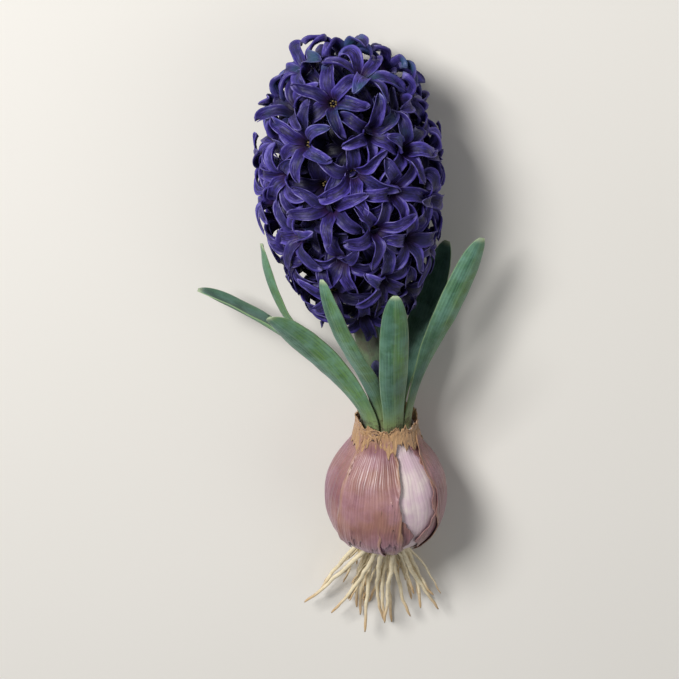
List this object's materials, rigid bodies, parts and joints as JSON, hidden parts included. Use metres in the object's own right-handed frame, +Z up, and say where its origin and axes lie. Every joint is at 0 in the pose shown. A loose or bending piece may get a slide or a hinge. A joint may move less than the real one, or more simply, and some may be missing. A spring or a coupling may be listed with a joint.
{
  "type": "hyacinth flower with bulb",
  "caption": "Whole garden hyacinth lying on its side: dense dark violet flower spike on a short stem, strap leaves in a tuft, round bulb and a fan of roots.",
  "frame": {"origin": "middle of the whole plant's footprint, on the surface that it lies on", "axes": "+Y along the plant from the roots to the tip of the flower head, +Z up, away from the surface, +X to the plant's right as seen from above with the head away from the viewer"},
  "size_m": [0.1354, 0.3184, 0.0816],
  "materials": {
    "bulb_tunic": "satin",
    "root": "matte",
    "stem": "satin",
    "leaf": "satin",
    "petal": "satin"
  },
  "bodies": {
    "root": {"bulb": "bulb_tunic", "roots": "root", "flower_stem": "stem", "leaf_left_low": "leaf", "leaf_left_front": "leaf", "leaf_left_high": "leaf", "leaf_front_left": "leaf", "leaf_back": "leaf", "leaf_front": "leaf", "leaf_right_back": "leaf", "leaf_right": "leaf", "flower_head": "petal"}
  },
  "joints": []
}
